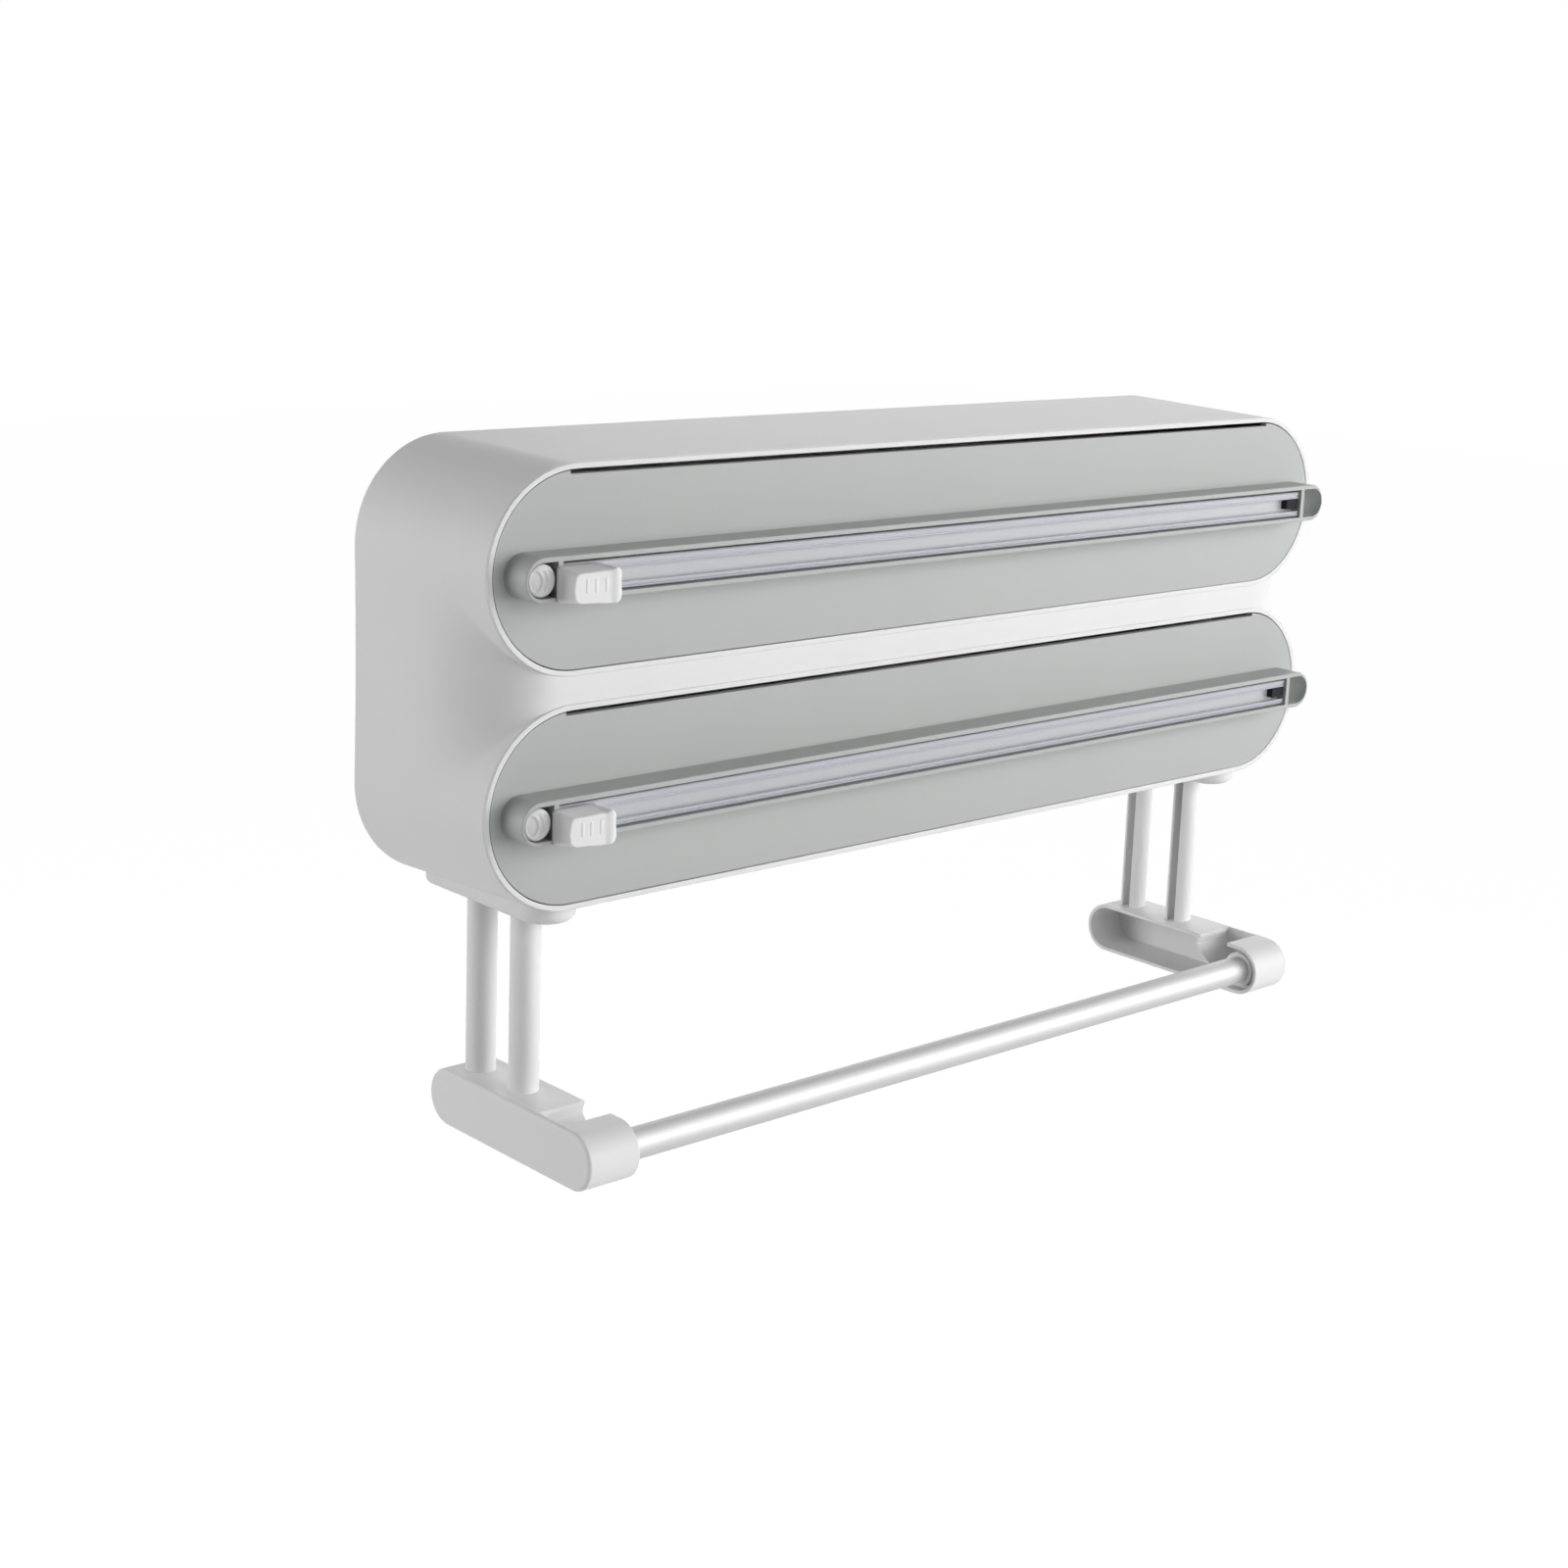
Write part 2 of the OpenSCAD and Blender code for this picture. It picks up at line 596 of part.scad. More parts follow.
module crown(rise) {
    intersection() {
        children();
        translate([0, 0, button_edge_h - sqrt(pow(button_crown_r, 2) - pow(button_r, 2)) + rise])
            sphere(button_crown_r);
    }
}
module button(lv) {
    color([0.9, 0.9, 0.9]) at_pill(lv) translate([button_x, 0, 0]) rotate([90, 0, 0]) {
        crown(0) translate([0, 0, button_skirt])
            cylinder(r = button_r, h = ridge_h + button_r - button_skirt);
        crown(button_rib_rise) for (k = [0:2]) intersection() {
            translate([button_rib_step / 2 - button_rib_first, 0, button_edge_h - button_rib_rise])
            difference() {
                rib_r = button_rib_first + k * button_rib_step;
                cylinder(r = rib_r, h = ridge_h);
                translate([0, 0, -over]) cylinder(r = rib_r - button_rib_w, h = ridge_h + 2 * over);
            }
            translate([0, -button_rib_half, 0])
                cube([button_r - button_rib_w / 2, 2 * button_rib_half, 2 * ridge_h]);
            cylinder(r = button_r - button_rib_rise, h = 2 * ridge_h);
        }
        translate([0, 0, -stem_end + stem_tip_r]) {
            cylinder(r = stem_r, h = button_skirt + stem_end - stem_tip_r);
            cylinder(r = stem_head_r, h = stem_end - stem_tip_r - panel_back - fit_gap);
            sphere(stem_tip_r);
        }
    }
}
// Coil round the button's stem, from the pocket floor to the button
module button_spring(lv) {
    n = spring_turns * spring_steps;
    function ring(i) = let (g = 360 * i / spring_steps, z = spring_low + (spring_high - spring_low) * i / n)
        [for (k = [0:spring_sides - 1])
            let (h = 360 * k / spring_sides, r = spring_r + spring_wire_r * cos(h))
            [r * cos(g), r * sin(g), z + spring_wire_r * sin(h)]];
    color([0.6, 0.6, 0.62]) at_pill(lv) translate([button_x, 0, 0]) rotate([90, 0, 0]) polyhedron(
        points = [for (i = [0:n]) each ring(i)],
        faces = concat(
            [[for (k = [0:spring_sides - 1]) k]],
            [[for (k = [spring_sides - 1:-1:0]) n * spring_sides + k]],
            [for (i = [0:n - 1], k = [0:spring_sides - 1]) let (m = (k + 1) % spring_sides) each [
                [i * spring_sides + k, (i + 1) * spring_sides + k, i * spring_sides + m],
                [i * spring_sides + m, (i + 1) * spring_sides + k, (i + 1) * spring_sides + m]]]));
}
// Thumb cap of the cutter, square at its foot, with a round face and three grip ribs
module cap_slice(low, inset, left_r) {
    along_y(-low - cap_slab, -low) for (sz = [-1, 1]) {
        translate([-cap_len / 2 + inset + left_r, sz * (cap_w / 2 - inset - left_r)])
            circle(left_r, $fn = 32);
        translate([cap_len / 2 - inset - cap_nose_r, sz * (cap_w / 2 - inset - cap_nose_r)])
            circle(cap_nose_r, $fn = 32);
    }
}
module cutter_cap(lv) {
    face = cap_low + cap_t;
    color([0.9, 0.9, 0.9]) at_pill(lv) translate([cap_x, 0, -cap_drop]) {
        hull() {
            cap_slice(cap_low, 0, cap_foot_r);
            cap_slice(face - cap_slab, cap_face_inset, cap_face_r);
        }
        for (k = [-1:1]) translate([k * grip_rib_step + grip_rib_shift, 0])
            box([-grip_rib_w / 2, -face - grip_rib_rise, -grip_rib_half],
                [grip_rib_w / 2, -face + cap_slab / 2, grip_rib_half]);
    }
}
// Sliding foot of the cutter, in the rail's groove, with a slot for the blade
module cutter_shoe(lv) {
    shoe_half = rail_cavity_half_w - run_gap;
    neck_half = groove_half_w - run_gap;
    color([0.8, 0.8, 0.8]) at_pill(lv) translate([cap_x, 0, 0]) difference() {
        union() {
            box([-shoe_len / 2, -rail_cavity_high + run_gap, -shoe_half],
                [shoe_len / 2, -rail_cavity_low - run_gap, shoe_half]);
            box([-neck_len / 2, -cap_low, -neck_half],
                [neck_len / 2, -rail_cavity_low - run_gap, neck_half]);
        }
        box([-shoe_len, -cap_low - over, -blade_t / 2], [shoe_len, -blade_low, blade_t / 2]);
    }
}
blade_low = rail_cavity_high - rail_lip_t;
module cutter_blade(lv) {
    half = neck_len / 2;
    color([0.75, 0.76, 0.78]) at_pill(lv) translate([cap_x, 0, 0]) along_z(-blade_t / 2, blade_t / 2)
        polygon([[-half, -cap_low], [half, -cap_low], [half + blade_reach, -cap_low + cap_gap],
            [half, -blade_low], [-half, -blade_low], [-half - blade_reach, -cap_low + cap_gap]]);
}

// Side profile of an arm, with y as depth and z from the bar's centre
module arm_outline(r) { slot_outline(-bar_reach, arm_rear_depth, r); }
module ramp_outline() {
    front = -2 * arm_r;
    translate([-bar_reach, 0]) polygon([[deck_reach, arm_r], [step_reach, step_height],
        [ramp_reach, ramp_height], [ramp_foot_reach, ramp_foot_height], [ramp_end_reach, -arm_r],
        [front, -arm_r], [front, arm_r]]);
}
// Edge all round, open above the bar, and the wall that closes the hollow behind the bar
module arm_walls() {
    difference() {
        arm_outline(arm_r);
        arm_outline(arm_r - arm_wall);
        translate([tip_reach - bar_reach, 0]) square([deck_reach - tip_reach, 2 * arm_r]);
    }
    intersection() {
        arm_outline(arm_r);
        difference() {
            translate([arm_wall, 0]) ramp_outline();
            ramp_outline();
        }
    }
}
// Arm with its two rods, one moulding open towards the middle
module arm(side) {
    color([0.87, 0.87, 0.87]) at_front() mirror([side < 0 ? 1 : 0, 0, 0]) difference() {
        union() {
            translate([0, 0, -bar_drop]) {
                along_x(arm_out - arm_plate_t, arm_out) arm_outline(arm_r);
                along_x(arm_in, arm_out - arm_plate_t / 2) arm_walls();
                along_x(cradle_in, arm_out - arm_plate_t / 2) difference() {
                    translate([-bar_reach, 0]) circle(arm_r);
                    translate([-bar_reach, 0]) circle(cradle_r);
                    translate([-bar_reach, 0]) square(2 * arm_r);
                    translate([-bar_reach + cradle_mouth_share * cradle_r, -arm_r]) square(2 * arm_r);
                }
            }
            for (d = [rod_front_depth, rod_rear_depth]) translate([rod_x, d, -bar_drop + arm_r - arm_wall])
                cylinder(r = rod_r, h = bar_drop - arm_r + arm_wall + rod_top);
        }
        for (d = [rod_front_depth, rod_rear_depth])
            box([arm_in - over, d - channel_half_w, -bar_drop + arm_r],
                [rod_x + channel_past_middle, d + channel_half_w, rod_top + over]);
        for (d = [rod_front_depth, rod_rear_depth])
            translate([rod_x + yoke_screw_shift, d, rod_top - yoke_screw_len])
                cylinder(r = yoke_screw_r + fit_gap / 2, h = yoke_screw_len + over);
    }
}
// Plate across the tops of an arm's rods, which stops them at the housing's middle floor
module yoke(side) {
    color([0.75, 0.76, 0.76]) at_front() mirror([side < 0 ? 1 : 0, 0, 0]) difference() {
        along_z(yoke_low, yoke_low + yoke_t) guide_plan(yoke_r);
        for (d = [rod_front_depth, rod_rear_depth]) translate([rod_x + yoke_screw_shift, d, yoke_low - over])
            cylinder(r = yoke_screw_r + fit_gap, h = yoke_t + 2 * over);
    }
}
module yoke_screws() {
    color([0.7, 0.7, 0.72]) at_front() for (m = [0, 1]) mirror([m, 0, 0])
        for (d = [rod_front_depth, rod_rear_depth])
            translate([rod_x + yoke_screw_shift, d, yoke_low + yoke_t]) rotate([180, 0, 0])
                screw(yoke_screw_len, yoke_screw_r, yoke_head_r, yoke_head_t);
}
// Roll bar and the caps that turn in the hooks
bar_end = arm_in + bar_cap_setback;
module at_bar() { translate([0, -body_depth - bar_reach, -bar_drop]) rotate([0, 90, 0]) children(); }
module bar_tube() {
    color([0.82, 0.82, 0.83]) at_bar() difference() {
        translate([0, 0, -bar_end]) cylinder(r = bar_r, h = 2 * bar_end);
        translate([0, 0, -bar_end - over]) cylinder(r = bar_r - bar_wall, h = 2 * (bar_end + over));
    }
}
module bar_cap(side) {
    end = arm_out - arm_plate_t - cap_end_gap;
    color([0.8, 0.8, 0.8]) mirror([side < 0 ? 1 : 0, 0, 0]) at_bar() {
        translate([0, 0, bar_end - cap_plug_len])
            cylinder(r = bar_r - bar_wall - pin_gap, h = cap_plug_len + pin_gap);
        translate([0, 0, bar_end]) cylinder(r = bar_cap_r, h = end - bar_end);
    }
}

housing_shell();
back_plate();
back_plate_screws();
runner(-1, 1);  // upper_left_runner
runner(1, 1);  // upper_right_runner
runner(-1, -1);  // lower_left_runner
runner(1, -1);  // lower_right_runner
keeper(1);  // upper_keeper
keeper(-1);  // lower_keeper
rod_guide(-1);  // left_rod_guide
rod_guide(1);  // right_rod_guide
rod_brake(-1);  // left_rod_brake
rod_brake(1);  // right_rod_brake
drawer_front(1);  // upper_front
tray(1);  // upper_tray
tray_screws(1);  // upper_tray_screws
cutter_rail(1);  // upper_cutter_rail
rail_stop(1);  // upper_rail_stop
latch_pin(1);  // upper_latch_pin
latch(1);  // upper_latch
button(1);  // upper_button
button_spring(1);  // upper_button_spring
cutter_cap(1);  // upper_cutter_cap
cutter_shoe(1);  // upper_cutter_shoe
cutter_blade(1);  // upper_cutter_blade
drawer_front(-1);  // lower_front
tray(-1);  // lower_tray
tray_screws(-1);  // lower_tray_screws
cutter_rail(-1);  // lower_cutter_rail
rail_stop(-1);  // lower_rail_stop
latch_pin(-1);  // lower_latch_pin
latch(-1);  // lower_latch
button(-1);  // lower_button
button_spring(-1);  // lower_button_spring
cutter_cap(-1);  // lower_cutter_cap
cutter_shoe(-1);  // lower_cutter_shoe
cutter_blade(-1);  // lower_cutter_blade
arm(-1);  // left_arm
arm(1);  // right_arm
yoke(-1);  // left_yoke
yoke(1);  // right_yoke
yoke_screws();
bar_tube();
bar_cap(-1);  // left_bar_cap
bar_cap(1);  // right_bar_cap
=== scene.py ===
"""Looks of the wall-mounted kitchen roll dispenser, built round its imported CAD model."""

import json
import math

import bmesh
import bpy
from mathutils import Matrix, Vector


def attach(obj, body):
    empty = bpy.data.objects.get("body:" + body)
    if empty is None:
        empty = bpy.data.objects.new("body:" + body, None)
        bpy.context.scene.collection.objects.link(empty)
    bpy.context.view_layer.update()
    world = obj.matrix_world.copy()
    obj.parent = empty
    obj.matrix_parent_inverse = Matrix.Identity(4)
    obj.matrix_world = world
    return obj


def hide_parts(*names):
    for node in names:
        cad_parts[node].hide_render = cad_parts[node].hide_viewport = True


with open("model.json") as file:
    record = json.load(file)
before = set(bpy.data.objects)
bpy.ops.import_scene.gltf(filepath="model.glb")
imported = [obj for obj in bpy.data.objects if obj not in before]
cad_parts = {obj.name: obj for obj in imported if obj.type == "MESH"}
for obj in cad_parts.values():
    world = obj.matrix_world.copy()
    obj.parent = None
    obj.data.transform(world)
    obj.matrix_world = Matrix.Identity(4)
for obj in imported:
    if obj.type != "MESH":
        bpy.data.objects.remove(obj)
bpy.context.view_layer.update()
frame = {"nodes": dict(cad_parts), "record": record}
NODES = frame["nodes"]
RECORD = frame["record"]
SLOTS = {row["node"]: row["material_slot"] for row in RECORD["subparts"]}
BODY_OF = {node: body for body, nodes in RECORD["behaviour"]["bodies"].items() for node in nodes}
SCENE = bpy.context.scene
MM = 0.001

# Sizes in millimetres, most of them the CAD source's. A depth runs back from the plane of the
# drawers' rims, a height forward from it, and a drop down from the middle of the part.

# Housing; a pill is a drawer's opening, with round ends
BODY_DEPTH = 69
PILL_HALF_LEN = 165
PILL_R = 31.15
PILL_Z = 37.3
RIM_W = 1.7
RIM_PROUD = 0.8
RIM_EDGE_R = 0.3
RIM_LIP = 0.28
RIM_LIP_DEPTH = 4
SKIN_LEDGE = 0.12
SKIN_R = PILL_R + RIM_W + SKIN_LEDGE
BAND_END = 5
VALLEY_DEPTH = 34
VALLEY_END = 0.99
BACK_FLARE = 2
BACK_HALF_W = PILL_HALF_LEN + SKIN_R + BACK_FLARE
BACK_HALF_H = PILL_Z + SKIN_R + BACK_FLARE
BACK_LIP_W = 2.4
PLATE_T = 2.8
SEAT_DEPTH = BODY_DEPTH - PLATE_T

# Pads under the housing, and the slots through them for the rods' guides
ROD_X = 164.3
ROD_DEPTHS = (24, 48)
PAD_TOP_Z = -60
PAD_DROP = 76.5
PAD_HALF_W = 10
PAD_EDGE_R = 3.5
PAD_BACK_SLOPE = 0.6
PAD_SETBACK = 4
GUIDE_R = 7.6
GUIDE_CUT_Z = (-90, -62)

# Drawer fronts and the ridge across each of them
FRONT_SETBACK = 0.3
PANEL_LEAST_R = 20
RIDGE_H = 11
RIDGE_R = 7
RIDGE_HALF_LEN = 184.9

# Push buttons and the cutters' thumb caps
BUTTON_X = -185.75
BUTTON_R = 5.1
BUTTON_EDGE_H = 10.5
BUTTON_EDGE_R = 0.7
BUTTON_CROWN_R = 14
CAP_X = -172.2
CAP_DROP = 1.1
CAP_LEN = 17.6
CAP_W = 10.4
CAP_LOW = 11.4
CAP_T = 8.8

# Clear rails
RAIL_HALF_LEN = 177.8
RAIL_HALF_W = 5.1
RAIL_LOW = 1.7
RAIL_TOP = 10
RAIL_LIP_LOW = 9
RAIL_CAVITY_LOW = 7
RAIL_CAVITY_HALF_W = 3.9

# Roll holder
ARM_IN = 154.3
ARM_OUT = 174.3
BAR_DROP = 146.6
NOTCH_OVER_BAR = 11

SIDES = {"upper": 1, "lower": -1}


# ---------------------------------------------------------------- materials
CLOUDS_PER_M = 35
GLOSS_SPREAD = 0.05
NOISE_MIDDLE = (0.3, 0.7)
# Painted shade on the rail's lips, darker as if the shaded recess showed through them, with the
# clear plastic's violet tint
RAIL_LIP_VIOLET_AND_SHADE = (0.785, 0.785, 0.845)
# Painted shade on the push buttons, darker as if shaded in their pockets; the caps' lowest edge
# behind that height gets it too
BUTTON_PAINTED_SHADE = (0.76, 0.76, 0.76)
BUTTON_PAINTED_SHADE_H = 12


def node_material(name):
    """A new material, with its node tree and its shader."""
    material = bpy.data.materials.new(name)
    material.use_nodes = True
    tree = material.node_tree
    return material, tree, tree.nodes["Principled BSDF"]


def noise(tree, scale, detail, where):
    """Noise of the given scale at a coordinate; its factor socket is returned."""
    node = tree.nodes.new("ShaderNodeTexNoise")
    node.inputs["Scale"].default_value = scale
    node.inputs["Detail"].default_value = detail
    tree.links.new(where, node.inputs["Vector"])
    return node.outputs["Fac"]


def spread(tree, value, low, high):
    """Maps the middle of a noise's range onto low to high."""
    ramp = tree.nodes.new("ShaderNodeMapRange")
    ramp.inputs["From Min"].default_value = NOISE_MIDDLE[0]
    ramp.inputs["From Max"].default_value = NOISE_MIDDLE[1]
    ramp.inputs["To Min"].default_value = low
    ramp.inputs["To Max"].default_value = high
    tree.links.new(value, ramp.inputs["Value"])
    return ramp.outputs["Result"]


def moulded(name, colour, shade, roughness, grain_mm=0.5, grain_height=0.006, mottle=0.5,
            specular=0.5, metallic=0.0, stretch=(1, 1, 1), alpha=1.0, ior=1.46):
    """Moulded, drawn or ground surface.

    It has a fine grain in its height and gloss, and faint clouds from colour to shade.
    """
    material, tree, shader = node_material(name)
    place = tree.nodes.new("ShaderNodeTexCoord")
    mapping = tree.nodes.new("ShaderNodeMapping")
    mapping.inputs["Scale"].default_value = stretch
    tree.links.new(place.outputs["Object"], mapping.inputs["Vector"])
    where = mapping.outputs["Vector"]
    fine = noise(tree, 1 / (grain_mm * MM), 3, where)
    clouds = noise(tree, CLOUDS_PER_M, 4, where)

    both = tree.nodes.new("ShaderNodeMath")
    both.operation = "MULTIPLY_ADD"
    both.inputs[1].default_value = 1 - mottle
    tree.links.new(spread(tree, fine, 0, 1), both.inputs[0])
    tree.links.new(spread(tree, clouds, 0, mottle), both.inputs[2])
    colours = tree.nodes.new("ShaderNodeMix")
    colours.data_type = "RGBA"
    colours.inputs["A"].default_value = (*shade, 1)
    colours.inputs["B"].default_value = (*colour, 1)
    tree.links.new(both.outputs[0], colours.inputs["Factor"])
    tree.links.new(colours.outputs["Result"], shader.inputs["Base Color"])

    gloss = spread(tree, fine, roughness - GLOSS_SPREAD, roughness + GLOSS_SPREAD)
    tree.links.new(gloss, shader.inputs["Roughness"])
    bump = tree.nodes.new("ShaderNodeBump")
    bump.inputs["Strength"].default_value = 1
    bump.inputs["Distance"].default_value = grain_height * MM
    tree.links.new(fine, bump.inputs["Height"])
    tree.links.new(bump.outputs["Normal"], shader.inputs["Normal"])
    shader.inputs["Specular IOR Level"].default_value = specular
    shader.inputs["Metallic"].default_value = metallic
    shader.inputs["Alpha"].default_value = alpha
    shader.inputs["IOR"].default_value = ior
    return material


def grey(tone):
    return (tone, tone, tone)


MATERIALS = {
    "shell_plastic": moulded("satin_white", grey(0.80), grey(0.77), 0.5, specular=0.3),
    "front_plastic": moulded("grained_grey_green", (0.447, 0.465, 0.452), (0.425, 0.442, 0.431),
                             0.5, grain_mm=0.35, grain_height=0.012, mottle=0.4),
    "tray_plastic": moulded("plain_white", (0.72, 0.725, 0.72), (0.69, 0.695, 0.69), 0.5),
    "guide_plastic": moulded("acetal", (0.66, 0.66, 0.65), (0.62, 0.62, 0.61), 0.4),
    "rail_clear": moulded("clear_violet", (0.80, 0.81, 0.83), (0.78, 0.79, 0.815), 0.3,
                          grain_mm=0.8, grain_height=0.0002, alpha=0.72, specular=0.25, ior=1.49),
    "stop_dark": moulded("dark_grey", (0.03, 0.03, 0.034), (0.025, 0.025, 0.03), 0.7,
                         specular=0.1),
    "cap_plastic": moulded("smooth_white", grey(0.88), grey(0.86), 0.4, grain_height=0.002,
                           specular=0.4),
    "steel": moulded("zinc_plate", (0.62, 0.62, 0.64), (0.5, 0.5, 0.53), 0.32, metallic=1.0),
    "blade_steel": moulded("ground_steel", (0.68, 0.69, 0.7), (0.55, 0.56, 0.58), 0.25,
                           metallic=1.0, stretch=(0.1, 1, 1)),
    "brake_rubber": moulded("soft_rubber", (0.03, 0.03, 0.033), (0.022, 0.022, 0.025), 0.75),
    "arm_plastic": moulded("arm_white", grey(0.83), grey(0.81), 0.45, specular=0.3),
    "bar_metal": moulded("satin_tube", grey(0.59), grey(0.54), 0.6, metallic=0.62,
                         stretch=(0.04, 1, 1), grain_mm=0.3, grain_height=0.003),
}


def paint_shade_by_height(slot, tint, height, behind=False):
    """Paints shade: multiplies a finish's colour by a darker tint on what lies in front of a
    height, or behind it.
    """
    tree = MATERIALS[slot].node_tree
    colour = tree.nodes["Principled BSDF"].inputs["Base Color"]
    source = colour.links[0].from_socket
    place = tree.nodes.new("ShaderNodeTexCoord")
    parts = tree.nodes.new("ShaderNodeSeparateXYZ")
    tree.links.new(place.outputs["Object"], parts.inputs["Vector"])
    painted_shade_mask = tree.nodes.new("ShaderNodeMath")
    painted_shade_mask.operation = "GREATER_THAN" if behind else "LESS_THAN"
    painted_shade_mask.inputs[1].default_value = -(BODY_DEPTH + height) * MM
    tree.links.new(parts.outputs["Y"], painted_shade_mask.inputs[0])
    mix = tree.nodes.new("ShaderNodeMix")
    mix.data_type = "RGBA"
    mix.blend_type = "MULTIPLY"
    mix.inputs["B"].default_value = (*tint, 1)
    tree.links.new(painted_shade_mask.outputs[0], mix.inputs["Factor"])
    tree.links.new(source, mix.inputs["A"])
    tree.links.new(mix.outputs["Result"], colour)


# Painted shade, with a violet tint, on the rail's lips in front of their low side
paint_shade_by_height("rail_clear", RAIL_LIP_VIOLET_AND_SHADE, RAIL_LIP_LOW)
# Painted shade on the buttons and the caps' lowest edge, behind a height of 12 mm
paint_shade_by_height("cap_plastic", BUTTON_PAINTED_SHADE, BUTTON_PAINTED_SHADE_H, behind=True)
for node, obj in NODES.items():
    obj.data.materials.clear()
    obj.data.materials.append(MATERIALS[SLOTS[node]])


# ---------------------------------------------------------------- mesh helpers
MERGE_M = 2e-6
FLAT_DEG = 0.4
EDGE_DEG = 32


def arc(x, z, r, start_deg, end_deg, steps):
    """Points of an arc round x, z, with both of its ends."""
    turns = [math.radians(start_deg + (end_deg - start_deg) * i / steps) for i in range(steps + 1)]
    return [(x + r * math.cos(a), z + r * math.sin(a)) for a in turns]


def quarter_turn(steps):
    """Angles in radians from zero to a right angle, both included."""
    return [math.radians(90 * i / steps) for i in range(steps + 1)]


def bands(around, rings, first=0):
    """Faces between rings of points that are listed one ring after the other."""
    faces = []
    for low in range(first, first + (rings - 1) * around, around):
        for i in range(around):
            j = (i + 1) % around
            faces.append((low + i, low + j, low + around + j, low + around + i))
    return faces


def closed_bands(around, rings, first=0):
    """The same, with a face over the first and the last ring."""
    last = first + (rings - 1) * around
    ends = [tuple(range(first, first + around)), tuple(range(last + around - 1, last - 1, -1))]
    return ends + bands(around, rings, first)


def from_points(name, points, faces, sharp_deg):
    """Mesh from points in millimetres, shaded smooth."""
    mesh = bpy.data.meshes.new(name)
    mesh.from_pydata([tuple(v * MM for v in p) for p in points], [], faces)
    smooth(mesh, sharp_deg)
    return mesh


def from_rings(name, rings, sharp_deg):
    """Closed mesh through rings that have the same number of points."""
    points = [p for ring in rings for p in ring]
    return from_points(name, points, closed_bands(len(rings[0]), len(rings)), sharp_deg)


def smooth(mesh, sharp_deg):
    """Smooth shading that keeps the edges sharper than an angle, and faces that point outwards."""
    bm = bmesh.new()
    bm.from_mesh(mesh)
    bmesh.ops.recalc_face_normals(bm, faces=bm.faces[:])
    for face in bm.faces:
        face.smooth = True
    for edge in bm.edges:
        edge.smooth = edge.calc_face_angle(0) < math.radians(sharp_deg)
    bm.to_mesh(mesh)
    bm.free()


def add_object(name, mesh):
    obj = bpy.data.objects.new(name, mesh)
    SCENE.collection.objects.link(obj)
    return obj


def add_piece(mesh, node):
    """Puts a finished mesh in the scene for a node, on its body and with its finish."""
    obj = add_object(mesh.name, mesh)
    mesh.materials.clear()
    mesh.materials.append(MATERIALS[SLOTS[node]])
    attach(obj, BODY_OF[node])
    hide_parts(node)
    return obj


def anywhere(p):
    return True


def rounded(node, name, rounds):
    """The node's shape as a new piece with rounded edges.

    rounds lists (test, radius, segments); an edge is rounded where both of its ends pass the test.
    """
    source = NODES[node].data
    mesh = bpy.data.meshes.new(name)
    mesh.from_pydata([v.co[:] for v in source.vertices], [],
                     [p.vertices[:] for p in source.polygons])
    bm = bmesh.new()
    bm.from_mesh(mesh)
    bmesh.ops.remove_doubles(bm, verts=bm.verts[:], dist=MERGE_M)
    bmesh.ops.dissolve_limit(bm, angle_limit=math.radians(FLAT_DEG), verts=bm.verts[:],
                             edges=bm.edges[:])
    for test, radius, segments in rounds:
        edges = [e for e in bm.edges if len(e.link_faces) == 2
                 and e.calc_face_angle(0) > math.radians(EDGE_DEG)
                 and test(e.verts[0].co / MM) and test(e.verts[1].co / MM)]
        bmesh.ops.bevel(bm, geom=edges, offset=radius * MM, offset_type="OFFSET",
                        segments=segments, profile=0.5, affect="EDGES", clamp_overlap=False,
                        loop_slide=True)
    bm.to_mesh(mesh)
    bm.free()
    smooth(mesh, 38)
    # Flat faces stay flat beside their rounded edges
    weighted = add_piece(mesh, node).modifiers.new("weighted", "WEIGHTED_NORMAL")
    weighted.keep_sharp = True


# ---------------------------------------------------------------- housing
def pill_loop(radius):
    """Outline with round ends, anticlockwise as x and z, starting at its right."""
    return (arc(PILL_HALF_LEN, 0, radius, -90, 90, 32)
            + arc(-PILL_HALF_LEN, 0, radius, 90, 270, 32))


def rim_loop(reach):
    """Outline of a bay's rim, reach outside the bay's wall.

    Where reach is negative it nears the panel towards the right, but not at the slot on top.
    """
    if reach >= 0:
        return pill_loop(PILL_R + reach)
    points = []
    for (x, z), (near_x, near_z) in zip(pill_loop(PILL_R), pill_loop(PILL_R + reach)):
        to_right = (1 + x / (PILL_HALF_LEN + PILL_R)) / 2
        under_slot = min(1, 4 * (1 - z / PILL_R))
        share = to_right * under_slot
        points.append((x + (near_x - x) * share, z + (near_z - z) * share))
    return points


def rim_profile():
    """Reach and depth from the skin over a rim's rounded edges to the bay's seat."""
    turns = quarter_turn(5)
    outer = [(RIM_W - RIM_EDGE_R * (1 - math.cos(a)), RIM_EDGE_R * (1 - math.sin(a)))
             for a in turns]
    inner = [((RIM_EDGE_R + RIM_LIP) * (1 - math.sin(a)) - RIM_LIP,
              RIM_EDGE_R * (1 - math.cos(a))) for a in turns]
    return ([(RIM_W, RIM_PROUD)] + outer + inner
            + [(-RIM_LIP, RIM_LIP_DEPTH), (0, RIM_LIP_DEPTH), (0, SEAT_DEPTH)])


